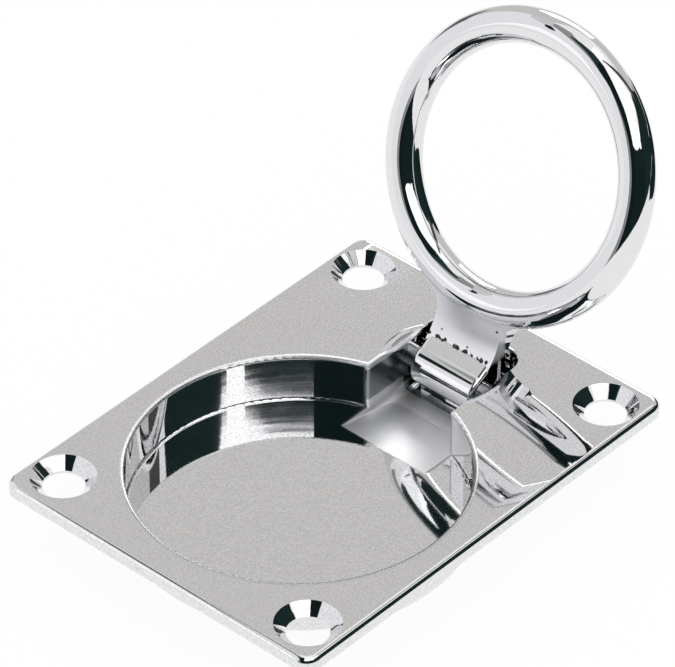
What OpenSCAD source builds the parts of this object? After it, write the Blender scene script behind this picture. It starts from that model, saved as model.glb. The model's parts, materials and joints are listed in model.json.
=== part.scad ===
// Flush lift ring: a plate with a bowl and a hinge slot cast in it, and a ring that folds into the bowl.
// Origin at the screw holes' centre on the plate's underside, +X towards the hinge, +Z out of the plate.
// The ring stands open, leaning past upright, with its heel on the floor of the hinge slot.

/* [Plate] */
// Thickness of the plate
plate_t = 2; // [1.8:0.1:3]
// Radius of the plate's corners in plan
plate_corner_r = 2.5; // [2:0.5:6]
// Rounding of the plate's upper edge
plate_edge_r = 1; // [0.2:0.1:1]
// Plate left between the bowl and the two long edges
side_margin = 4.5; // [3:0.1:10]
// Plate left between the bowl and the end away from the hinge
bowl_end_margin = 5.5; // [3:0.1:12]
// Plate left between the hinge slot and the end near it
slot_end_margin = 6.1; // [3:0.1:12]

/* [Screw holes] */
// Distance from the plate's short edges to the holes
hole_inset_x = 6.5; // [5.5:0.05:9]
// Distance from the plate's long edges to the holes
hole_inset_y = 5.95; // [5.5:0.05:9]
// Diameter of the hole at the plate's underside
hole_d = 6.2; // [4:0.1:6.5]
// Diameter of the countersink at the plate's face
countersink_d = 9.6; // [7.5:0.1:9.8]
// Straight land left below the countersink
hole_land = 0.4; // [0.2:0.1:1]

/* [Bowl] */
// Inner diameter of the bowl
bowl_d = 49.4; // [40:0.2:70]
// Depth of the bowl below the plate's face
bowl_depth = 7.8; // [7:0.1:10]
// Rounding where the bowl's wall meets the plate's face
bowl_rim_r = 0.4; // [0.2:0.1:0.8]
// Fillet where the bowl's wall meets its floor
bowl_floor_r = 0.4; // [0.2:0.1:1]
// Wall of the bowl and of the slot's end
wall_t = 1.3; // [1:0.1:2.5]
// Metal under the deepest floor
floor_t = 0.8; // [0.6:0.1:2.5]
// Rounding of the bowl's lower edge
bowl_base_r = 3.2; // [0.8:0.1:3.4]
// Rounding of the hinge housing's lower edge
slot_base_r = 1.6; // [0.8:0.1:2]

/* [Hinge] */
// Depth of the pin's axis below the plate's face
pin_depth = 3.8; // [3.4:0.1:5]
// Diameter of the hinge pin
pin_d = 3.5; // [2.5:0.1:4]
// Radial clearance of the ring's bore on the pin
pin_clearance = 0.05; // [0.03:0.01:0.1]
// Wall of the slot that holds each end of the pin
pin_wall = 2.2; // [1.5:0.1:3]
// Chamfer on each end of the pin
pin_chamfer = 0.4; // [0.2:0.1:0.8]
// Lean of the open ring past upright, in degrees
open_lean = 24; // [0:1:30]

/* [Hinge slot] */
// Gap between the lug and each side of the slot
slot_side_gap = 1.9; // [0.5:0.1:4]
// Gap between the heel's sweep and the slot's end
slot_end_gap = 1.8; // [0.5:0.1:5]
// Gap between the knuckle and the slot's floor
slot_floor_gap = 1.7; // [0.6:0.1:2.5]
// Radius of the slot's far corners in plan
slot_corner_r = 3; // [2:0.5:6]
// Fillet where the slot's walls meet its floor
slot_floor_r = 1.4; // [0.5:0.1:2]
// Rounding of the slot's upper edge
slot_rim_r = 0.4; // [0.2:0.1:0.8]
// Rounding of the upright edges where the slot opens into the bowl
mouth_edge_r = 0.6; // [0.2:0.1:1.2]
// Length of the slope from the bowl's floor down to the slot's floor
scoop_l = 10; // [6:0.5:12]
// How far that slope reaches into the bowl
scoop_reach = 5.5; // [3:0.5:10]
// How far the round dish about the hinge reaches past the slot's sides
dish_reach = 1.85; // [1:0.05:1.95]
// Rounding from the plate's face down into that dish
dish_round_r = 2; // [2:0.1:3]
// Distance from the pin's axis back to the dish's centre
dish_shift = 2.1; // [0:0.1:4]

/* [Ring] */
// Thickness of the ring's bar
bar_d = 5.5; // [4:0.1:7]
// Gap between the folded ring and the bowl's wall
ring_gap = 1.4; // [0.6:0.1:4]
// Distance from the pin's axis to the ring's outer edge
neck_l = 10; // [9:0.1:14]

/* [Lug] */
// Width of the lug
lug_w = 11.8; // [8:0.2:16]
// Radius of the knuckle round the pin
knuckle_r = 3.3; // [2.8:0.1:3.6]
// Distance from the pin's axis to the lug's flat back
lug_back = 2.5; // [2:0.1:2.7]
// Rounding of the edges down the lug's front
lug_edge_r = 0.8; // [0.3:0.1:1.2]
// Distance from the pin's axis plane to the front of the waist, where the lug is thinnest
waist_front = 0.45; // [0.2:0.05:1]
// Radius of the hollow from the waist up to the ring's bar
hollow_r = 8; // [6:0.5:10]
// Distance from the pin's axis to the crease between that hollow and the shoulder
crease_s = 4.6; // [4:0.1:5]
// Radius of the flare from the lug's sides into the ring
flare_r = 4; // [2:0.2:5]
// How far the hollow and the flares run into the bar, and the shoulder into the knuckle
blend_sink = 0.15; // [0.1:0.05:0.4]
// How far the hollow and the shoulder run on inside each other
crease_lap = 1.5; // [1:0.1:2]
// Length of the heel's flat that lands on the slot's floor
heel_l = 1; // [0.6:0.1:1.4]
// Gap left between the heel and the floor when the ring stands open
heel_gap = 0.1; // [0.05:0.05:0.2]

/* [Hidden] */
$fn = 96;
chrome = [0.78, 0.78, 0.79];
steel = [0.70, 0.71, 0.73];
// Overshoot of cuts past the faces that they open
over = 1;
// Step that the slot's length is rounded to, so that the plate's length comes out in hundredths too
grid = 0.01;

// Heights
face_z = plate_t;
pin_z = face_z - pin_depth;
bowl_floor_z = face_z - bowl_depth;
slot_floor_z = pin_z - knuckle_r - slot_floor_gap;
base_z = min(bowl_floor_z, slot_floor_z) - floor_t;

// Ring and lug, measured from the pin's axis
bowl_r = bowl_d / 2;
bar_r = bar_d / 2;
ring_out_r = bowl_r - ring_gap;
ring_r = ring_out_r - bar_r;
ring_reach = neck_l + ring_out_r;
pin_r = pin_d / 2;
bar_s = ring_reach - ring_r;
hollow_front = waist_front + hollow_r;
hollow_s = bar_s - sqrt((bar_r - blend_sink + hollow_r) ^ 2 - hollow_front ^ 2);
crease = [sqrt(hollow_r ^ 2 - (crease_s - hollow_s) ^ 2) - hollow_front, crease_s];
stop_drop = pin_z - slot_floor_z - heel_gap;
heel_s = (lug_back * sin(open_lean) - stop_drop) / cos(open_lean);
heel_sweep_r = norm([heel_s, lug_back]);

// Places along X
slot_back = grid * round((heel_sweep_r + slot_end_gap) / grid);
plate_l = bowl_end_margin + bowl_r + ring_reach + slot_back + slot_end_margin;
plate_w = bowl_d + 2 * side_margin;
bowl_x = -plate_l / 2 + bowl_end_margin + bowl_r;
pin_x = bowl_x + ring_reach;
slot_end_x = pin_x + slot_back;
slot_w = lug_w + 2 * slot_side_gap;
housing_w = slot_w + 2 * pin_wall;
mouth_x = bowl_x + sqrt(bowl_r * bowl_r - slot_w * slot_w / 4);
scoop_x = mouth_x - scoop_reach;
dish_r = slot_w / 2 + dish_reach - dish_round_r;

// Point where the line from p touches a circle of radius r round the origin, on the side given by the sign
function touch_point(p, r, side) =
    let (turn = atan2(p[1], p[0]) + side * acos(r / norm(p)))
    r * [cos(turn), sin(turn)];

// Half section from an axis out to r, with its upper outer corner rounded
module rounded_section(r, low, high, round_r) {
    translate([0, low]) square([r - round_r, high - low]);
    translate([0, low]) square([r, high - low - round_r]);
    translate([r - round_r, high - round_r]) circle(round_r);
}

// Half section of a cut out to r, which opens with a rounded rim at the height given as high
module flared_section(r, low, high, round_r) {
    translate([0, low]) square([r, high + over - low]);
    difference() {
        translate([0, high - round_r]) square([r + round_r, round_r + over]);
        translate([r + round_r, high - round_r]) circle(round_r);
    }
}

// Block with round corners in plan, whose edge follows the half section given as a child
module edged_block(l, w, corner_r, low, high) {
    core_l = l - 2 * corner_r;
    core_w = w - 2 * corner_r;
    for (x = [-1, 1], y = [-1, 1])
        translate([x * core_l / 2, y * core_w / 2, 0]) rotate_extrude() children();
    rotate([90, 0, 90]) linear_extrude(core_l, center = true)
        two_sided(core_w, low, high) children();
    rotate([90, 0, 180]) linear_extrude(core_w, center = true)
        two_sided(core_l, low, high) children();
}

// Full section: the half section on both sides of a core
module two_sided(core, low, high) {
    translate([-core / 2, low]) square([core, high - low]);
    for (side = [0, 1])
        mirror([side, 0]) translate([core / 2, 0]) children();
}

// Plate with its upper edge rounded
module plate() {
    edged_block(plate_l, plate_w, plate_corner_r, 0, face_z)
        rounded_section(plate_corner_r, 0, face_z, plate_edge_r);
}

// Outside of the bowl under the plate
module bowl_outside() {
    translate([bowl_x, 0, 0]) mirror([0, 0, 1]) rotate_extrude()
        rounded_section(bowl_r + wall_t, -face_z / 2, -base_z, bowl_base_r);
}

// Outside of the hinge slot under the plate
module slot_outside() {
    housing_l = slot_end_x + wall_t - bowl_x;
    corner_r = slot_corner_r + wall_t;
    translate([bowl_x + housing_l / 2, 0, 0]) mirror([0, 0, 1])
        edged_block(housing_l, housing_w, corner_r, -face_z / 2, -base_z)
            rounded_section(corner_r, -face_z / 2, -base_z, slot_base_r);
}

// Half section of a hollow out to r, with a filleted floor and a rounded rim
module hollow_section(r, floor_z, floor_r, rim_r) {
    mirror([0, 1]) rounded_section(r, -face_z - over, -floor_z, floor_r);
    flared_section(r, floor_z + floor_r, face_z, rim_r);
}

// Round hollow of the bowl
module bowl_hollow() {
    translate([bowl_x, 0, 0]) rotate_extrude()
        hollow_section(bowl_r, bowl_floor_z, bowl_floor_r, bowl_rim_r);
}

// Hollow of the hinge slot, which opens into the bowl down a sloping scoop
module slot_hollow() {
    slot_l = slot_end_x - bowl_x;
    low_z = slot_floor_z - over;
    high_z = face_z + over;
    end_x = slot_end_x + over;
    intersection() {
        rotate([90, 0, 0]) linear_extrude(2 * slot_w, center = true) polygon([
            [scoop_x, bowl_floor_z],
            [scoop_x + scoop_l, slot_floor_z],
            [scoop_x + scoop_l, low_z],
            [end_x, low_z],
            [end_x, high_z + over],
            [scoop_x, high_z + over],
        ]);
        translate([bowl_x + slot_l / 2, 0, 0])
            edged_block(slot_l, slot_w, slot_corner_r, slot_floor_z, high_z)
                hollow_section(slot_corner_r, slot_floor_z, slot_floor_r, slot_rim_r);
    }
}

// Round dish that eases the plate's face into the slot about the hinge
module hinge_dish() {
    translate([pin_x - dish_shift, 0, 0]) rotate_extrude()
        flared_section(dish_r, face_z - dish_round_r, face_z, dish_round_r);
}

// Cut that rounds the two upright edges where the slot opens into the bowl
module mouth_rounding() {
    corner = [mouth_x - bowl_x, slot_w / 2];
    post_y = corner[1] + mouth_edge_r;
    post = [sqrt((bowl_r + mouth_edge_r) ^ 2 - post_y ^ 2), post_y];
    for (side = [0, 1])
        translate([bowl_x, 0, bowl_floor_z]) mirror([0, side, 0])
            linear_extrude(bowl_depth + over) difference() {
                polygon([
                    corner - [over, over],
                    [post[0], corner[1] - over],
                    post,
                    (bowl_r - over) * post / norm(post),
                ]);
                translate(post) circle(mouth_edge_r);
            }
}

// One countersunk screw hole
module screw_hole() {
    translate([0, 0, -over]) cylinder(d = hole_d, h = plate_t + 2 * over);
    translate([0, 0, hole_land])
        cylinder(d1 = hole_d, d2 = countersink_d, h = plate_t - hole_land);
    translate([0, 0, face_z]) cylinder(d = countersink_d, h = over);
}

// Casting that is let into the surface: plate, bowl and hinge slot in one piece
module base_plate() {
    hole_x = plate_l / 2 - hole_inset_x;
    hole_y = plate_w / 2 - hole_inset_y;
    color(chrome) difference() {
        union() {
            plate();
            bowl_outside();
            slot_outside();
        }
        bowl_hollow();
        slot_hollow();
        hinge_dish();
        mouth_rounding();
        for (x = [-1, 1], y = [-1, 1])
            translate([x * hole_x, y * hole_y, 0]) screw_hole();
        translate([pin_x, 0, pin_z]) rotate([90, 0, 0])
            cylinder(r = pin_r, h = housing_w + 2 * over, center = true);
    }
}

// Pin pressed into both sides of the slot
module hinge_pin() {
    color(steel) translate([pin_x, 0, pin_z]) rotate([90, 0, 0]) {
        cylinder(r = pin_r, h = housing_w - 2 * pin_chamfer, center = true);
        for (end = [0, 1])
            mirror([0, 0, end]) translate([0, 0, housing_w / 2 - pin_chamfer])
                cylinder(r1 = pin_r, r2 = pin_r - pin_chamfer, h = pin_chamfer);
    }
}

// Knuckle round the pin, with its ends' edges rounded
module knuckle() {
    rotate([90, 0, 0]) rotate_extrude()
        for (end = [0, 1])
            mirror([0, end]) rounded_section(knuckle_r, 0, lug_w / 2, lug_edge_r);
}

// Sloping shoulder from the knuckle up to the crease and on behind the hollow, with its front edges rounded
module shoulder(foot, depth) {
    rise = crease - foot;
    edge_w = 2 * lug_edge_r;
    translate([foot[0], 0, foot[1]]) rotate([0, atan2(rise[0], rise[1]), 0])
        linear_extrude(norm(rise) + crease_lap) rotate(90)
            two_sided(lug_w - 2 * edge_w, -depth, 0) rounded_section(edge_w, -depth, 0, lug_edge_r);
}

// Lower part of the lug: knuckle, shoulder and the heel that stops the ring
module lug_foot() {
    foot = touch_point(crease, knuckle_r - blend_sink, 1);
    rise = crease - foot;
    top = crease + crease_lap * rise / norm(rise);
    heel = [lug_back, heel_s];
    heel_toe = heel - heel_l * [cos(open_lean), sin(open_lean)];
    depth = 2 * (knuckle_r + lug_back);
    knuckle();
    intersection() {
        rotate([90, 0, 0]) linear_extrude(2 * lug_w, center = true)
            polygon([[0, 0], foot, top, [lug_back, top[1]], heel, heel_toe]);
        union() {
            shoulder(foot, depth);
            translate([0, -lug_w / 2, -depth]) cube([depth, lug_w, 2 * depth]);
        }
    }
}

// Section of the hollow from the shoulder up to the bar, turned about the ring's axis
module neck_section() {
    centre = [bar_s - hollow_s, -hollow_front];
    low = bar_s - crease_s + crease_lap;
    difference() {
        polygon([
            [0, 0],
            (bar_r - blend_sink) * centre / norm(centre),
            centre,
            [low, -hollow_front],
            [low, lug_back],
            [0, lug_back],
        ]);
        translate(centre) circle(hollow_r);
    }
}

// Front view of the lug: straight sides that flare into the ring
module lug_front() {
    flare_y = lug_w / 2 + flare_r;
    meet_r = ring_out_r - blend_sink;
    flare_s = ring_reach - sqrt((meet_r + flare_r) ^ 2 - flare_y ^ 2);
    strip_w = 2 * flare_y * meet_r / (meet_r + flare_r);
    low_s = min(heel_s, -knuckle_r) - heel_l - over;
    difference() {
        translate([-strip_w / 2, low_s]) square([strip_w, ring_reach - low_s]);
        translate([0, ring_reach]) circle(ring_r);
        for (side = [-1, 1]) {
            translate([side * flare_y, flare_s]) circle(flare_r);
            translate([side * flare_y - flare_r, low_s - over])
                square([2 * flare_r, flare_s - low_s + over]);
        }
    }
}

// Ring and its lug in one casting, leaning open on the pin
module lift_ring() {
    color(chrome) translate([pin_x, 0, pin_z]) rotate([0, open_lean, 0]) difference() {
        union() {
            translate([0, 0, ring_reach]) rotate([0, 90, 0]) rotate_extrude()
                translate([ring_r, 0]) circle(bar_r);
            intersection() {
                rotate([90, 0, 90]) linear_extrude(4 * bar_d, center = true) lug_front();
                union() {
                    lug_foot();
                    translate([0, 0, ring_reach]) rotate([0, 90, 0]) rotate_extrude()
                        translate([ring_r, 0]) neck_section();
                }
            }
        }
        rotate([90, 0, 0]) cylinder(r = pin_r + pin_clearance, h = lug_w + 2 * over, center = true);
    }
}

base_plate();
hinge_pin();
lift_ring();
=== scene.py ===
"""Studio scene of a flush lift ring: finishes for the casting, the ring and the pin, and a white stage."""

import json
import math
from collections import namedtuple

import bpy
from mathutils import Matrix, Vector


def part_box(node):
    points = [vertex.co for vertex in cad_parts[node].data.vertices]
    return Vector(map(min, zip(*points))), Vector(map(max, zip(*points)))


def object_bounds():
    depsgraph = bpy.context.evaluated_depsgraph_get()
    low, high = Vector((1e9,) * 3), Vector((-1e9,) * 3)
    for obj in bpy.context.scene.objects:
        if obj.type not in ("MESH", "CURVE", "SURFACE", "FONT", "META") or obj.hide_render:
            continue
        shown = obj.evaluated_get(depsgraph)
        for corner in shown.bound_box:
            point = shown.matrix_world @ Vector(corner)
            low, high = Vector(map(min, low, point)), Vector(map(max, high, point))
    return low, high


bl_info = {
    "name": "Flush lift ring",
    "version": (1, 0, 0),
    "blender": (4, 5, 0),
    "location": "View3D > Sidebar > Lift ring",
    "description": "Finishes a flush lift ring in polished plate and sets it on a white studio stage",
    "category": "Object",
}

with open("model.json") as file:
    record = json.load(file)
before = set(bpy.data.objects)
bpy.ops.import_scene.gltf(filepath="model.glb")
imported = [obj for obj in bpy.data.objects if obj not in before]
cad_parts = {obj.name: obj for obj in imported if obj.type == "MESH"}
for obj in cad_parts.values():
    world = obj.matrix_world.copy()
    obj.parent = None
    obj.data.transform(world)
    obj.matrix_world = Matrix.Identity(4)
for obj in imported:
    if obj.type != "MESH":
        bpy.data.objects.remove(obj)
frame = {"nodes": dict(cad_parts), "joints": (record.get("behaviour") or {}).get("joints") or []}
CAD_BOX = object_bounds()

PLATE = "base_plate"
RING = "lift_ring"
PIN = "hinge_pin"
MM = 0.001

HINGE = Vector(frame["joints"][0]["pos_m"])
FLOOR_Z = CAD_BOX[0].z
PLATE_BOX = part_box(PLATE)
FACE_Z = PLATE_BOX[1].z

# Open ring: its lean past upright, and the loop's centre away from the pin's axis
RING_LEAN = math.radians(24)
RING_REACH = 33.3 * MM
RING_CENTRE = HINGE + RING_REACH * Vector((math.sin(RING_LEAN), 0, math.cos(RING_LEAN)))

# Bowl in the plate's face, and the rounding of its rim
BOWL_X = -7.965 * MM
BOWL_R = 24.7 * MM
RIM_R = 0.4 * MM
RIM_FADE = 0.4 * MM
RIM_FOOT = 0.2 * MM

# Sum of x and y from the bowl's centre at which the rim gets its full painted shade, and none
RIM_SHADE_SPAN = (-14 * MM, 4 * MM)

# Soft borders of the satin
SATIN_BORDER = 0.4 * MM
NECK_BORDER = 0.8 * MM
LIP_BORDER = 0.15 * MM

# Spans of the textures' values, and what they are mapped to
NOISE_SPAN = (0.3, 0.7)
HAZE_SPAN = (0.35, 0.7)
HAZE_GLOSS = (0.7, 1.6)
PIN_SHADE = (0.8, 1.1)
PIN_ROUGHNESS = (0.18, 0.34)
PIT_RAGGED = (0.4, 1.5)
PIT_BORDER = 0.1
SPECK_BORDER = (0.1, 0.16)

# Repeats of the stretched patterns in a metre, along each axis
WALL_STREAKS = (40, 40, 900)
PIN_LINES = (4000, 90, 4000)

RISE = (0, 1)
FALL = (1, 0)

# Sockets of a Mix node that blends colours
MIX_FIRST = 6
MIX_SECOND = 7
MIX_RESULT = 2

# Point that the camera's angles and distance are counted from
CAMERA_BASE = Vector((-0.15 * MM, 0, FACE_Z))
SENSOR_WIDTH = 36

FLOOR_SIZE = 30

SOFTBOX_SIZE = (1.3, 1.0)
SOFTBOX_DISTANCE = 1.12
SOFTBOX_AZIMUTH = 0
SOFTBOX_ELEVATION = math.radians(72)

WARM = (1.0, 0.985, 0.965)
COOL = (0.965, 0.97, 1.0)
DEEP = (0.5, 1.0, 1.0)
PLAIN = (1.0, 1.0, 1.0)

# Degrees between a card's columns, and the rows of faces in it
CARD_STEP = 2
CARD_ROWS = 12

# A card stands on an arc round the ring. Each edge point is (azimuth, lowest, highest), in degrees.
Card = namedtuple("Card", "name radius level tint edge")
CARDS = (
    Card("dark_left", 1.0, 0.014, DEEP, (
        (-101, 54, 70), (-96, 44, 76), (-91, 36, 78), (-85, 30, 78), (-80, -4, 78), (-72, -4, 76),
        (-66, -4, 62), (-60.5, -4, 54), (-59.5, -4, 37.6),
    )),
    Card("half_left", 1.02, 0.28, PLAIN, ((-96, -4, 50), (-79, -4, 40))),
    Card("dark_front", 1.0, 0.018, DEEP, (
        (-59.5, -4, 37.6), (-46, -4, 37.85), (-30, -4, 38.15), (-14.5, -4, 38.25), (-11.5, -4, 36),
        (-3, -4, 34.5), (-1.5, -4, 38.6), (2, -4, 38.8),
    )),
    Card("dark_right", 1.0, 0.025, DEEP, (
        (2, -4, 38.8), (6.5, -4, 40), (12, -4, 41), (50, -4, 41.5), (58, -4, 38), (60, -4, 27),
        (72, -4, 24), (76, -4, 15), (85, -4, 12),
    )),
    Card("dark_low", 0.1, 0.02, DEEP, (
        (24, -8, 2), (32, -11, 2), (44, -18, 3), (60, -22, 4), (84, -25, 5), (94, -27, 0), (104, -28, -20),
    )),
    Card("front_white", 1.05, 1.6, PLAIN, ((-59.5, 30, 52), (8, 30, 52))),
    Card("dark_ceiling", 1.04, 0.04, DEEP, (
        (-150, 66, 74), (-140, 62, 84), (-116, 60, 84), (-108, 55, 84), (-104, 46, 84), (-96, 44, 84),
        (-66, 60, 82),
    )),
    Card("grey_ceiling", 1.05, 0.32, PLAIN, (
        (-188, 60, 70), (-150, 56, 72), (-112, 51, 64), (-104, 47, 58),
    )),
    Card("dark_seam", 1.03, 0.02, DEEP, (
        (-148, 49, 52.3), (-143, 45.5, 51), (-138, 42.5, 48.5), (-133, 40, 45),
    )),
    Card("left_bright", 1.05, 1.2, PLAIN, ((-128, 7, 26), (-116, 7, 26))),
    Card("dark_strip", 1.03, 0.08, PLAIN, ((59, 20, 84), (72, 20, 84))),
    Card("dark_back", 1.03, 0.15, PLAIN, ((156, -2, 14), (178, -2, 14))),
    Card("grey_wall", 1.06, 0.655, WARM, (
        (72, -4, 46), (96, -4, 44), (120, -4, 49), (150, -4, 58), (172, -4, 58),
    )),
    Card("grey_high", 1.06, 0.68, PLAIN, ((-188, 46, 60), (-147, 47, 58))),
    Card("left_reflector", 1.08, 0.95, COOL, (
        (-188, -4, 46), (-160, -4, 50), (-150, -4, 48), (-112, -4, 50), (-95, -4, 46),
    )),
    Card("scoop_light", 0.98, 5.4, PLAIN, ((106, 18, 36), (134, 18, 36))),
)


def toward(azimuth, elevation):
    """Unit vector from the object, with the azimuth counted from -Y towards +X."""
    flat = math.cos(elevation)
    return Vector((math.sin(azimuth) * flat, -math.cos(azimuth) * flat, math.sin(elevation)))


class StudioSettings(bpy.types.PropertyGroup):
    """Camera, floor and lamps."""

    camera_azimuth: bpy.props.FloatProperty(
        name="Camera azimuth", description="Where the camera stands, counted from -Y towards +X",
        default=math.radians(-47.97), subtype="ANGLE", unit="ROTATION",
    )
    camera_elevation: bpy.props.FloatProperty(
        name="Camera elevation", description="Height of the camera above the horizon",
        default=math.radians(39.78), subtype="ANGLE", unit="ROTATION",
    )
    camera_distance: bpy.props.FloatProperty(
        name="Camera distance", description="From the middle of the plate's face to the camera",
        default=0.8622, subtype="DISTANCE", unit="LENGTH",
    )
    camera_aim: bpy.props.FloatVectorProperty(
        name="Camera aim", description="Point in the middle of the picture",
        default=(0.00722, 0.00634, 0.01366), subtype="XYZ", unit="LENGTH",
    )
    camera_lens: bpy.props.FloatProperty(
        name="Lens", description="Focal length on a sensor 36 mm wide",
        default=324.2, unit="CAMERA",
    )
    backdrop_level: bpy.props.FloatProperty(
        name="Backdrop level", description="Brightness of the white backdrop",
        default=1.0, subtype="FACTOR",
    )
    floor_glow: bpy.props.FloatProperty(
        name="Floor glow", description="Share of the floor's white that the shadow does not darken",
        default=0.93, subtype="FACTOR",
    )
    floor_colour: bpy.props.FloatVectorProperty(
        name="Floor colour", description="Colour of the pale floor",
        default=(0.92, 0.92, 0.92), size=3, subtype="COLOR",
    )
    softbox_level: bpy.props.FloatProperty(
        name="Softbox level", description="Brightness of the softbox overhead",
        default=0.3, subtype="FACTOR",
    )


class FinishSettings(bpy.types.PropertyGroup):
    """Plated and drawn metal."""

    chrome: bpy.props.FloatVectorProperty(
        name="Chrome", description="Colour of the plating",
        default=(0.78, 0.78, 0.79), size=3, subtype="COLOR",
    )
    # The pin's colour is partly its own steel and partly painted shade, dark for the shaded slot it sits in
    steel_and_shade: bpy.props.FloatVectorProperty(
        name="Steel", description="Colour of the drawn pin",
        default=(0.36, 0.36, 0.37), size=3, subtype="COLOR",
    )
    pit: bpy.props.FloatVectorProperty(
        name="Pits", description="Colour in the casting pits that the polish left",
        default=(0.05, 0.05, 0.055), size=3, subtype="COLOR",
    )
    grain_size: bpy.props.FloatProperty(
        name="Grain size", description="Size of the plating's finest grain",
        default=0.28 * MM, subtype="DISTANCE", unit="LENGTH", precision=5,
    )
    plate_grain: bpy.props.FloatProperty(
        name="Grain on the plate", description="How strongly the grain shows on the plate",
        default=0.14, subtype="FACTOR",
    )
    ring_grain: bpy.props.FloatProperty(
        name="Grain on the ring", description="How strongly the grain shows on the ring",
        default=0.03, subtype="FACTOR",
    )
    gloss: bpy.props.FloatProperty(
        name="Polish", description="Roughness of the polished plating",
        default=0.03, subtype="FACTOR",
    )
    satin: bpy.props.FloatProperty(
        name="Satin", description="Roughness of the scoop, the lip and the neck, which were left unpolished",
        default=0.4, subtype="FACTOR",
    )
    # Frost is lighter than the polished plating: a painted highlight on the scoop, the lip and the neck, on
    # top of their satin roughness
    frost_highlight: bpy.props.FloatVectorProperty(
        name="Frost", description="Colour of the plating where it was left unpolished",
        default=(0.93, 0.93, 0.94), size=3, subtype="COLOR",
    )
    scoop_start: bpy.props.FloatVectorProperty(
        name="Scoop start", description="Corner of the satin on the scoop and the slot's floor",
        default=(9.97 * MM, -7.85 * MM, -8 * MM), size=3, subtype="XYZ", unit="LENGTH",
    )
    scoop_end: bpy.props.FloatVectorProperty(
        name="Scoop end", description="Opposite corner of the satin on the scoop and the slot's floor",
        default=(23 * MM, 7.85 * MM, -4.6 * MM), size=3, subtype="XYZ", unit="LENGTH",
    )
    neck_start: bpy.props.FloatVectorProperty(
        name="Neck start", description="Corner of the satin on the lug's neck",
        default=(20 * MM, -8.5 * MM, 3 * MM), size=3, subtype="XYZ", unit="LENGTH",
    )
    neck_end: bpy.props.FloatVectorProperty(
        name="Neck end", description="Opposite corner of the satin on the lug's neck",
        default=(29.2 * MM, 8.5 * MM, 9.3 * MM), size=3, subtype="XYZ", unit="LENGTH",
    )
    # The rim tone is painted shade: a darker colour on the rounded rim, away from the hinge
    rim_shade_colour: bpy.props.FloatVectorProperty(
        name="Rim tone", description="Colour of the worn part of the bowl's rim",
        default=(0.34, 0.34, 0.345), size=3, subtype="COLOR",
    )
    rim_satin: bpy.props.FloatProperty(
        name="Rim", description="Roughness of the bowl's rounded rim",
        default=0.3, subtype="FACTOR",
    )
    roll_width: bpy.props.FloatProperty(
        name="Rolled edge", description="How far in from the long edges the polish has rounded the face",
        default=3 * MM, subtype="DISTANCE", unit="LENGTH",
    )
    roll_curve: bpy.props.FloatProperty(
        name="Roll", description="How strongly the polish has rounded the face there, per metre",
        default=20,
    )
    wall_lean: bpy.props.FloatProperty(
        name="Wall lean", description="How far the polish has drawn the bowl's wall in towards its top",
        default=math.radians(0.14), subtype="ANGLE", unit="ROTATION",
    )
    wall_streak: bpy.props.FloatProperty(
        name="Wall streaks", description="Height of the long streaks that the polish has left on the wall",
        default=0.0012 * MM, subtype="DISTANCE", unit="LENGTH", precision=6,
    )
    slot_start: bpy.props.FloatVectorProperty(
        name="Slot start", description="Corner of the hinge slot, which is less polished inside",
        default=(10.4 * MM, -8.2 * MM, -7 * MM), size=3, subtype="XYZ", unit="LENGTH",
    )
    slot_end: bpy.props.FloatVectorProperty(
        name="Slot end", description="Opposite corner of the hinge slot",
        default=(24 * MM, 8.2 * MM, 1.3 * MM), size=3, subtype="XYZ", unit="LENGTH",
    )
    # The slot tone is painted shade inside the hinge slot; the slot's roughness is its lesser polish
    slot_shade: bpy.props.FloatVectorProperty(
        name="Slot tone", description="Colour of the plating inside the hinge slot",
        default=(0.32, 0.34, 0.35), size=3, subtype="COLOR",
    )
    slot_satin: bpy.props.FloatProperty(
        name="Slot", description="Roughness inside the hinge slot",
        default=0.18, subtype="FACTOR",
    )
    # The lip gets a painted highlight in the frost colour along the slot's upper edge, and satin roughness
    lip_start: bpy.props.FloatVectorProperty(
        name="Lip start", description="Corner of the satin on the slot's upper edge on the +Y side",
        default=(14 * MM, 7.6 * MM, 1.2 * MM), size=3, subtype="XYZ", unit="LENGTH",
    )
    lip_end: bpy.props.FloatVectorProperty(
        name="Lip end", description="Opposite corner of the satin on that edge",
        default=(27 * MM, 8.2 * MM, 2.2 * MM), size=3, subtype="XYZ", unit="LENGTH",
    )
    crease: bpy.props.FloatVectorProperty(
        name="Crease", description="Where the crease of the lug lies, away from the pin's axis",
        default=(1.28 * MM, 0, 4.46 * MM), size=3, subtype="XYZ", unit="LENGTH",
    )
    pit_spacing: bpy.props.FloatProperty(
        name="Pit spacing", description="Distance between the casting pits along the crease",
        default=1.1 * MM, subtype="DISTANCE", unit="LENGTH", precision=5,
    )
    pit_size: bpy.props.FloatProperty(
        name="Pit size", description="Radius of the casting pits",
        default=0.36 * MM, subtype="DISTANCE", unit="LENGTH", precision=5,
    )
    speck_spacing: bpy.props.FloatProperty(
        name="Speck spacing", description="Distance between the casting specks on the lug's neck",
        default=2 * MM, subtype="DISTANCE", unit="LENGTH", precision=5,
    )


# Shader node helpers

def link(tree, output, to):
    """Joins two sockets."""
    tree.links.new(output, to)


def put(tree, kind, **values):
    """Adds a node and sets its inputs by name and its options by attribute."""
    node = tree.nodes.new(kind)
    for key, value in values.items():
        if key in node.inputs:
            node.inputs[key].default_value = value
        else:
            setattr(node, key, value)
    return node


def feed(tree, source, socket):
    """Gives a socket its value: another socket's output or a number."""
    if isinstance(source, bpy.types.NodeSocket):
        link(tree, source, socket)
    else:
        socket.default_value = source


def math_node(tree, operation, *operands):
    """Adds a Math node whose operands are sockets or numbers, and returns its output."""
    node = put(tree, "ShaderNodeMath", operation=operation)
    for socket, operand in zip(node.inputs, operands):
        feed(tree, operand, socket)
    return node.outputs[0]


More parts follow.
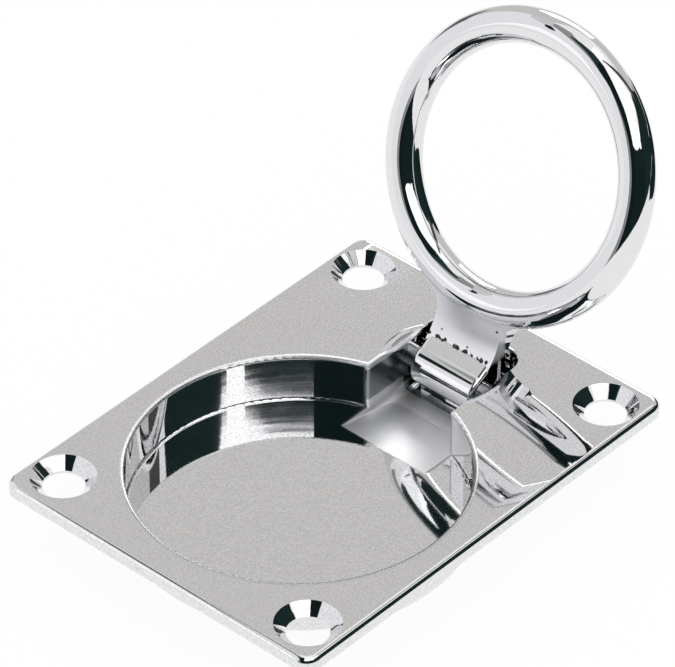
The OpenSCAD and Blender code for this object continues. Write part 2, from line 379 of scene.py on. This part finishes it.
def remap(tree, value, span, to):
    """Maps a value from one span to another, clamped, and returns the output."""
    node = put(tree, "ShaderNodeMapRange")
    for name, source in zip(("Value", "From Min", "From Max", "To Min", "To Max"), (value, *span, *to)):
        feed(tree, source, node.inputs[name])
    return node.outputs["Result"]


def object_place(tree):
    """Object coordinates."""
    return put(tree, "ShaderNodeTexCoord").outputs["Object"]


def object_axes(tree):
    """Object coordinates as three outputs."""
    axes = put(tree, "ShaderNodeSeparateXYZ")
    link(tree, object_place(tree), axes.inputs["Vector"])
    return axes.outputs["X"], axes.outputs["Y"], axes.outputs["Z"]


def stretched(tree, repeats):
    """Object coordinates, stretched by the repeats in a metre along each axis."""
    stretch = put(tree, "ShaderNodeMapping", Scale=repeats)
    link(tree, object_place(tree), stretch.inputs["Vector"])
    return stretch.outputs["Vector"]


def noise(tree, vector, **values):
    """Adds a noise on a vector and returns its value."""
    node = put(tree, "ShaderNodeTexNoise", **values)
    link(tree, vector, node.inputs["Vector"])
    return node.outputs["Fac"]


def scale_colour(tree, colour, share):
    """Multiplies a colour by a share and returns the product."""
    node = put(tree, "ShaderNodeVectorMath", operation="SCALE")
    feed(tree, colour, node.inputs["Vector"])
    link(tree, share, node.inputs["Scale"])
    return node.outputs["Vector"]


def blend(tree, share, first, second):
    """Mixes a colour output with a fixed colour and returns the mixed one."""
    mix = put(tree, "ShaderNodeMix", data_type="RGBA")
    link(tree, share, mix.inputs["Factor"])
    link(tree, first, mix.inputs[MIX_FIRST])
    mix.inputs[MIX_SECOND].default_value = (*second, 1)
    return mix.outputs[MIX_RESULT]


def plating_group():
    """Node group of polished plating: a fine grain in the colour and a soft haze in the gloss."""
    name = "Plating"
    if name in bpy.data.node_groups:
        return bpy.data.node_groups[name]
    tree = bpy.data.node_groups.new(name, "ShaderNodeTree")
    for socket, way, kind in (
        ("Colour", "INPUT", "NodeSocketColor"),
        ("Grain scale", "INPUT", "NodeSocketFloat"),
        ("Grain", "INPUT", "NodeSocketFloat"),
        ("Gloss", "INPUT", "NodeSocketFloat"),
        ("Colour", "OUTPUT", "NodeSocketColor"),
        ("Roughness", "OUTPUT", "NodeSocketFloat"),
    ):
        tree.interface.new_socket(socket, in_out=way, socket_type=kind)
    given = put(tree, "NodeGroupInput")
    made = put(tree, "NodeGroupOutput")
    grain = noise(tree, object_place(tree), Detail=1.5, Roughness=0.6)
    link(tree, given.outputs["Grain scale"], grain.node.inputs["Scale"])
    darkest = math_node(tree, "SUBTRACT", 1, given.outputs["Grain"])
    brightest = math_node(tree, "ADD", 1, given.outputs["Grain"])
    shade = remap(tree, grain, NOISE_SPAN, (darkest, brightest))
    link(tree, scale_colour(tree, given.outputs["Colour"], shade), made.inputs["Colour"])
    haze = noise(tree, object_place(tree), Scale=70, Detail=3, Roughness=0.55)
    cloudy = remap(tree, haze, HAZE_SPAN, HAZE_GLOSS)
    link(tree, math_node(tree, "MULTIPLY", cloudy, given.outputs["Gloss"]), made.inputs["Roughness"])
    return tree


def metal(name):
    """Metal on a Principled shader: returns the material, its tree and the shader."""
    material = bpy.data.materials.new(name)
    material.use_nodes = True
    tree = material.node_tree
    shader = tree.nodes["Principled BSDF"]
    shader.inputs["Metallic"].default_value = 1
    return material, tree, shader


def plated(name, settings, grain):
    """Metal with a plating node: returns the material, its tree, the shader and the node."""
    material, tree, shader = metal(name)
    plating = put(tree, "ShaderNodeGroup", node_tree=plating_group())
    plating.inputs["Colour"].default_value = (*settings.chrome, 1)
    plating.inputs["Grain scale"].default_value = 1 / settings.grain_size
    plating.inputs["Grain"].default_value = grain
    plating.inputs["Gloss"].default_value = settings.gloss
    return material, tree, shader, plating


def raise_surface(tree, shader, height):
    """Bends the shader's normal by a height in metres."""
    bump = put(tree, "ShaderNodeBump", Strength=1, Distance=1)
    link(tree, height, bump.inputs["Height"])
    link(tree, bump.outputs["Normal"], shader.inputs["Normal"])


def box_mask(tree, start, end, soft):
    """One inside a box and nought outside it, with a soft border outside."""
    mask = 1
    for axis, low, high in zip(object_axes(tree), start, end):
        mask = math_node(tree, "MULTIPLY", mask, remap(tree, axis, (low - soft, low), RISE))
        mask = math_node(tree, "MULTIPLY", mask, remap(tree, axis, (high, high + soft), FALL))
    return mask


def rolled_edge(tree, settings):
    """Height of the face, which the polish has rounded towards the plate's long edges."""
    _, y, _ = object_axes(tree)
    inside = math_node(tree, "SUBTRACT", PLATE_BOX[1].y, math_node(tree, "ABSOLUTE", y))
    rolled = math_node(tree, "MAXIMUM", math_node(tree, "SUBTRACT", settings.roll_width, inside), 0)
    return math_node(tree, "MULTIPLY", math_node(tree, "MULTIPLY", rolled, rolled), -settings.roll_curve)


def drawn_wall(tree, settings):
    """Height of the walls, which the polish has drawn in towards the top and left in long streaks."""
    _, _, z = object_axes(tree)
    streaks = noise(tree, stretched(tree, WALL_STREAKS), Scale=1, Detail=1)
    height = math_node(tree, "MULTIPLY", streaks, settings.wall_streak)
    return math_node(tree, "ADD", height, math_node(tree, "MULTIPLY", z, math.tan(settings.wall_lean)))


def rim_masks(tree):
    """One on the rounded rim of the bowl, and one on the part of it away from the hinge that gets painted
    shade.
    """
    x, y, z = object_axes(tree)
    from_centre = math_node(tree, "SUBTRACT", x, BOWL_X)
    along = math_node(tree, "POWER", from_centre, 2)
    away = math_node(tree, "SQRT", math_node(tree, "ADD", along, math_node(tree, "POWER", y, 2)))
    from_rim = math_node(tree, "ABSOLUTE", math_node(tree, "SUBTRACT", away, BOWL_R + RIM_R / 2))
    near = remap(tree, from_rim, (RIM_R / 2, RIM_R / 2 + RIM_FADE), FALL)
    upper = remap(tree, z, (FACE_Z - RIM_R - RIM_FOOT, FACE_Z - RIM_R), RISE)
    rim = math_node(tree, "MULTIPLY", near, upper)
    # Share of the rim's painted shade: full away from the hinge, none towards it
    shaded = remap(tree, math_node(tree, "ADD", from_centre, y), RIM_SHADE_SPAN, FALL)
    return rim, math_node(tree, "MULTIPLY", rim, shaded)


def pit_mask(tree, settings):
    """One in the row of casting pits along the lug's crease."""
    x, y, z = object_axes(tree)
    middle = HINGE + Vector(settings.crease)
    out = math_node(tree, "POWER", math_node(tree, "SUBTRACT", x, middle.x), 2)
    up = math_node(tree, "POWER", math_node(tree, "SUBTRACT", z, middle.z), 2)
    repeats = 1 / settings.pit_spacing
    row = put(tree, "ShaderNodeTexVoronoi", voronoi_dimensions="1D", Scale=repeats, Randomness=0.8)
    link(tree, y, row.inputs["W"])
    along = math_node(tree, "MULTIPLY", row.outputs["Distance"], settings.pit_spacing)
    square = math_node(tree, "ADD", math_node(tree, "ADD", out, up), math_node(tree, "POWER", along, 2))
    ragged = noise(tree, object_place(tree), Scale=1600, Detail=1)
    size = remap(tree, ragged, NOISE_SPAN, [share * settings.pit_size for share in PIT_RAGGED])
    beyond = math_node(tree, "SUBTRACT", math_node(tree, "SQRT", square), size)
    border = PIT_BORDER * settings.pit_size
    return remap(tree, beyond, (-border, border), FALL)


def speck_mask(tree, settings):
    """One in scattered casting specks."""
    cells = put(tree, "ShaderNodeTexVoronoi", Scale=1 / settings.speck_spacing)
    link(tree, object_place(tree), cells.inputs["Vector"])
    return remap(tree, cells.outputs["Distance"], SPECK_BORDER, FALL)


def dress(node, material):
    """Puts a finish on a CAD node."""
    piece = frame["nodes"][node]
    if not piece.material_slots:
        raise RuntimeError(f"{node} has no material slot")
    for slot in piece.material_slots:
        slot.material = material


class LIFTRING_OT_plate(bpy.types.Operator):
    """Finish the casting: grained plating, a duller rim and slot with painted shade on part of the rim and
    inside the slot, and satin with a painted highlight on the scoop and the lip
    """

    bl_idname = "liftring.plate"
    bl_label = "Finish the plate"

    def execute(self, context):
        settings = context.scene.lift_ring_finish
        material, tree, shader, plating = plated("plate_plating", settings, settings.plate_grain)
        rim, shaded = rim_masks(tree)
        slot = box_mask(tree, settings.slot_start, settings.slot_end, SATIN_BORDER)
        lip = box_mask(tree, settings.lip_start, settings.lip_end, LIP_BORDER)
        scoop = box_mask(tree, settings.scoop_start, settings.scoop_end, SATIN_BORDER)
        # Painted shade on part of the bowl's rim
        colour = blend(tree, shaded, plating.outputs["Colour"], settings.rim_shade_colour)
        # Painted shade inside the hinge slot
        colour = blend(tree, slot, colour, settings.slot_shade)
        # Painted highlight in the frost colour on the lip and the scoop
        colour = blend(tree, lip, colour, settings.frost_highlight)
        colour = blend(tree, scoop, colour, settings.frost_highlight)
        link(tree, colour, shader.inputs["Base Color"])
        dull = math_node(tree, "MULTIPLY", scoop, settings.satin)
        dull = math_node(tree, "MAXIMUM", dull, math_node(tree, "MULTIPLY", slot, settings.slot_satin))
        dull = math_node(tree, "MAXIMUM", dull, math_node(tree, "MULTIPLY", lip, settings.satin))
        dull = math_node(tree, "ADD", dull, math_node(tree, "MULTIPLY", rim, settings.rim_satin))
        link(tree, math_node(tree, "ADD", plating.outputs["Roughness"], dull), shader.inputs["Roughness"])
        height = math_node(tree, "ADD", rolled_edge(tree, settings), drawn_wall(tree, settings))
        raise_surface(tree, shader, height)
        dress(PLATE, material)
        return {"FINISHED"}


class LIFTRING_OT_ring(bpy.types.Operator):
    """Finish the ring: plating, satin with a painted highlight on the neck, and casting pits along the
    crease of the lug
    """

    bl_idname = "liftring.ring"
    bl_label = "Finish the ring"

    def execute(self, context):
        settings = context.scene.lift_ring_finish
        material, tree, shader, plating = plated("ring_plating", settings, settings.ring_grain)
        neck = box_mask(tree, settings.neck_start, settings.neck_end, NECK_BORDER)
        specks = math_node(tree, "MULTIPLY", neck, speck_mask(tree, settings))
        pits = math_node(tree, "MAXIMUM", pit_mask(tree, settings), specks)
        # Painted highlight in the frost colour on the neck; the pits are the casting's own
        colour = blend(tree, neck, plating.outputs["Colour"], settings.frost_highlight)
        link(tree, blend(tree, pits, colour, settings.pit), shader.inputs["Base Color"])
        dull = math_node(tree, "MULTIPLY", math_node(tree, "MAXIMUM", pits, neck), settings.satin)
        link(tree, math_node(tree, "ADD", plating.outputs["Roughness"], dull), shader.inputs["Roughness"])
        dress(RING, material)
        return {"FINISHED"}


class LIFTRING_OT_pin(bpy.types.Operator):
    """Finish the hinge pin: drawn steel with fine lines along it, its colour darkened partly by painted
    shade
    """

    bl_idname = "liftring.pin"
    bl_label = "Finish the pin"

    def execute(self, context):
        settings = context.scene.lift_ring_finish
        material, tree, shader = metal("pin_drawn_steel")
        lines = noise(tree, stretched(tree, PIN_LINES), Scale=1, Detail=2)
        shade = remap(tree, lines, NOISE_SPAN, PIN_SHADE)
        # The pin's colour carries painted shade
        link(tree, scale_colour(tree, settings.steel_and_shade, shade), shader.inputs["Base Color"])
        link(tree, remap(tree, lines, NOISE_SPAN, PIN_ROUGHNESS), shader.inputs["Roughness"])
        dress(PIN, material)
        return {"FINISHED"}


# Stage helpers

def bare_material(name):
    """Material with an output alone: returns the material, its tree and the surface socket."""
    material = bpy.data.materials.new(name)
    material.use_nodes = True
    tree = material.node_tree
    tree.nodes.clear()
    return material, tree, put(tree, "ShaderNodeOutputMaterial").inputs["Surface"]


def glow_material(name, level, tint):
    """Even glow for a card."""
    material, tree, surface = bare_material(name)
    glow = put(tree, "ShaderNodeEmission", Color=(*tint, 1), Strength=level)
    link(tree, glow.outputs["Emission"], surface)
    return material


def edge_at(edge, azimuth):
    """Lowest and highest elevation of a card's edge at an azimuth."""
    for (start, low, high), (end, next_low, next_high) in zip(edge, edge[1:]):
        if start <= azimuth <= end:
            share = (azimuth - start) / (end - start)
            return low + (next_low - low) * share, high + (next_high - high) * share
    raise ValueError(f"no edge at {azimuth}")


def columns_of(edge):
    """Azimuths of a card's columns, with one at every edge point."""
    azimuths = []
    for (start, _, _), (end, _, _) in zip(edge, edge[1:]):
        count = max(1, round((end - start) / CARD_STEP))
        azimuths += [start + (end - start) * i / count for i in range(count)]
    azimuths.append(edge[-1][0])
    return azimuths


def set_card(card):
    """Adds a card on its arc, seen by the metal alone."""
    azimuths = columns_of(card.edge)
    points = []
    for azimuth in azimuths:
        low, high = edge_at(card.edge, azimuth)
        for row in range(CARD_ROWS + 1):
            elevation = low + (high - low) * row / CARD_ROWS
            out = toward(math.radians(azimuth), math.radians(elevation))
            points.append(RING_CENTRE + card.radius * out)
    faces = []
    for column in range(len(azimuths) - 1):
        for row in range(CARD_ROWS):
            corner = column * (CARD_ROWS + 1) + row
            beside = corner + CARD_ROWS + 1
            faces.append((corner, corner + 1, beside + 1, beside))
    mesh = bpy.data.meshes.new(card.name)
    mesh.from_pydata(points, [], faces)
    mesh.materials.append(glow_material(card.name, card.level, card.tint))
    thing = bpy.data.objects.new(card.name, mesh)
    bpy.context.scene.collection.objects.link(thing)
    thing.visible_camera = False
    thing.visible_diffuse = False
    thing.visible_shadow = False


class LIFTRING_OT_stage(bpy.types.Operator):
    """Set the white floor and backdrop, the cards that the metal mirrors, the softbox and the camera"""

    bl_idname = "liftring.stage"
    bl_label = "Set the stage"

    def execute(self, context):
        settings = context.scene.lift_ring_studio
        self.backdrop(context, settings)
        self.floor(settings)
        for card in CARDS:
            set_card(card)
        self.softbox(settings)
        self.camera(context, settings)
        context.scene.view_settings.view_transform = "Standard"
        return {"FINISHED"}

    def backdrop(self, context, settings):
        """White all round."""
        world = bpy.data.worlds.new("white_backdrop")
        world.use_nodes = True
        background = world.node_tree.nodes["Background"]
        background.inputs["Color"].default_value = (*PLAIN, 1)
        background.inputs["Strength"].default_value = settings.backdrop_level
        context.scene.world = world

    def floor(self, settings):
        """Pale floor that is white to the camera and the metal, with a faint shadow."""
        bpy.ops.object.select_all(action="DESELECT")
        bpy.ops.mesh.primitive_plane_add(size=FLOOR_SIZE, location=(0, 0, FLOOR_Z))
        thing = bpy.context.object
        thing.name = "floor"
        bpy.ops.object.transform_apply(location=True, rotation=True, scale=True)
        material, tree, surface = bare_material("pale_floor")
        paper = put(tree, "ShaderNodeBsdfDiffuse", Color=(*settings.floor_colour, 1))
        glow = put(tree, "ShaderNodeEmission", Color=(*PLAIN, 1), Strength=settings.backdrop_level)
        ray = put(tree, "ShaderNodeLightPath")
        seen = math_node(tree, "MAXIMUM", ray.outputs["Is Camera Ray"], ray.outputs["Is Glossy Ray"])
        seen = math_node(tree, "MAXIMUM", seen, ray.outputs["Is Transmission Ray"])
        mix = put(tree, "ShaderNodeMixShader")
        link(tree, math_node(tree, "MULTIPLY", seen, settings.floor_glow), mix.inputs["Fac"])
        link(tree, paper.outputs["BSDF"], mix.inputs[1])
        link(tree, glow.outputs["Emission"], mix.inputs[2])
        link(tree, mix.outputs["Shader"], surface)
        thing.data.materials.append(material)

    def softbox(self, settings):
        """Softbox overhead, on the camera's right."""
        lamp = bpy.data.lights.new("softbox", "AREA")
        lamp.shape = "RECTANGLE"
        lamp.size, lamp.size_y = SOFTBOX_SIZE
        lamp.energy = settings.softbox_level * math.pi * lamp.size * lamp.size_y
        thing = bpy.data.objects.new("softbox", lamp)
        out = toward(SOFTBOX_AZIMUTH, SOFTBOX_ELEVATION)
        thing.location = RING_CENTRE + SOFTBOX_DISTANCE * out
        thing.rotation_mode = "QUATERNION"
        thing.rotation_quaternion = out.to_track_quat("Z", "Y")
        bpy.context.scene.collection.objects.link(thing)

    def camera(self, context, settings):
        """Camera with a long lens, aimed without shift."""
        camera = bpy.data.cameras.new("camera")
        camera.sensor_width = SENSOR_WIDTH
        camera.lens = settings.camera_lens
        thing = bpy.data.objects.new("camera", camera)
        out = toward(settings.camera_azimuth, settings.camera_elevation)
        thing.location = CAMERA_BASE + settings.camera_distance * out
        thing.rotation_mode = "QUATERNION"
        sight = Vector(settings.camera_aim) - thing.location
        thing.rotation_quaternion = sight.to_track_quat("-Z", "Y")
        context.scene.collection.objects.link(thing)
        context.scene.camera = thing


class LIFTRING_PT_panel(bpy.types.Panel):
    """Lists the steps and the settings"""

    bl_idname = "LIFTRING_PT_panel"
    bl_label = "Flush lift ring"
    bl_space_type = "VIEW_3D"
    bl_region_type = "UI"
    bl_category = "Lift ring"

    def draw(self, context):
        layout = self.layout
        for operator in OPERATORS:
            layout.operator(operator.bl_idname)
        for settings in (context.scene.lift_ring_finish, context.scene.lift_ring_studio):
            box = layout.box()
            for name in settings.__annotations__:
                box.prop(settings, name)


OPERATORS = (LIFTRING_OT_plate, LIFTRING_OT_ring, LIFTRING_OT_pin, LIFTRING_OT_stage)
CLASSES = (StudioSettings, FinishSettings, *OPERATORS, LIFTRING_PT_panel)


def register():
    """Registers the classes and hangs the settings on the scene."""
    for cls in CLASSES:
        bpy.utils.register_class(cls)
    bpy.types.Scene.lift_ring_studio = bpy.props.PointerProperty(type=StudioSettings)
    bpy.types.Scene.lift_ring_finish = bpy.props.PointerProperty(type=FinishSettings)


def unregister():
    """Takes the settings and the classes away again."""
    del bpy.types.Scene.lift_ring_finish
    del bpy.types.Scene.lift_ring_studio
    for cls in reversed(CLASSES):
        bpy.utils.unregister_class(cls)


def main():
    """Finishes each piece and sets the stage."""
    register()
    bpy.ops.liftring.plate()
    bpy.ops.liftring.ring()
    bpy.ops.liftring.pin()
    bpy.ops.liftring.stage()


if __name__ == "__main__":
    main()
